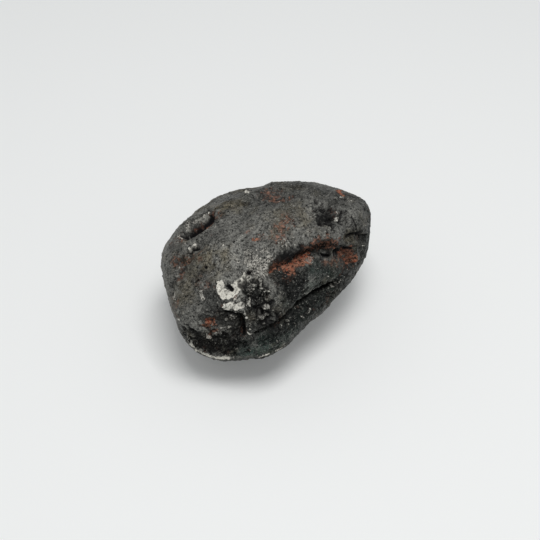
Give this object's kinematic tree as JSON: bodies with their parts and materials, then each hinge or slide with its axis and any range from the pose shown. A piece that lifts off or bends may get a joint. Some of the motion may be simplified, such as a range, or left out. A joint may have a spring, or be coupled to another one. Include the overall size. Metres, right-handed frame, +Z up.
{
  "type": "iron meteorite",
  "caption": "Rounded, weathered lump of iron with a rusty cleft, gashes, cracks and thumb-print dents, which rests on a small worn flat as a display specimen.",
  "frame": {"origin": "centre of the bounding box's footprint, at the height of the worn flat that the stone rests on", "axes": "+X along the stone's long axis towards its nose, +Z up, -Y out of the marked front face with the rusty cleft"},
  "size_m": [0.0615, 0.0423, 0.0376],
  "materials": {
    "iron_crust": "weathered dark oxide crust with a dull metallic gloss, rust in the hollows, cream mineral chips and a grey-green tint low on the front"
  },
  "bodies": {
    "root": {"meteorite": "iron_crust"}
  },
  "joints": []
}
